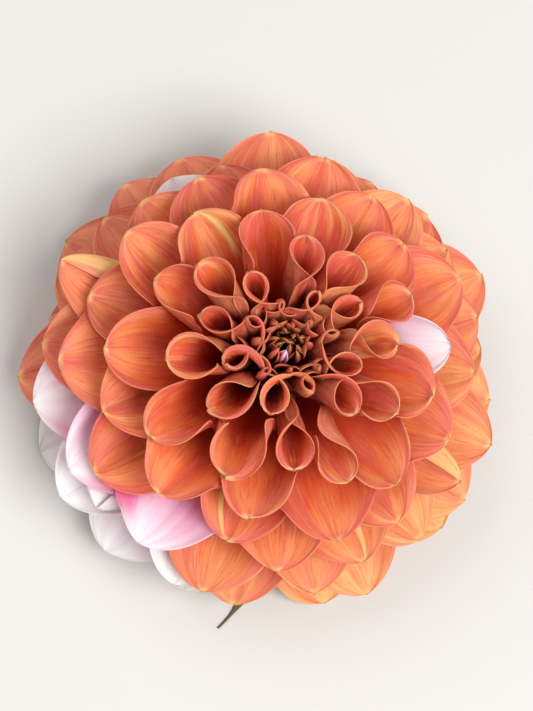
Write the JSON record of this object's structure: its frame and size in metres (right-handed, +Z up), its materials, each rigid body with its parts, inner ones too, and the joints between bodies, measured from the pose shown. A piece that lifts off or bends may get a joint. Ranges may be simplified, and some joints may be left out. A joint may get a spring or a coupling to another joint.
{
  "type": "dahlia flower",
  "caption": "Cut double dahlia bloom, face up: rolled florets in the middle, broad orange petals in layers, one sector of white petals.",
  "frame": {"origin": "middle of the part's footprint, on the surface it lies on", "axes": "+Z up along the bloom's axis, +Y towards the top of the picture, the leaf's tip towards -Y"},
  "size_m": [0.1048, 0.1072, 0.0502],
  "materials": {
    "petal_orange": "soft satin",
    "petal_white": "soft satin",
    "bud": "matte",
    "stem": "matte",
    "bract": "matte",
    "leaf": "matte"
  },
  "bodies": {
    "root": {"florets_orange": "petal_orange", "florets_white": "petal_white", "floret_white_side": "petal_white", "floret_white_back": "petal_white", "buds": "bud", "stem_and_outer_bracts": "stem", "inner_bracts": "bract", "leaf": "leaf"}
  },
  "joints": []
}
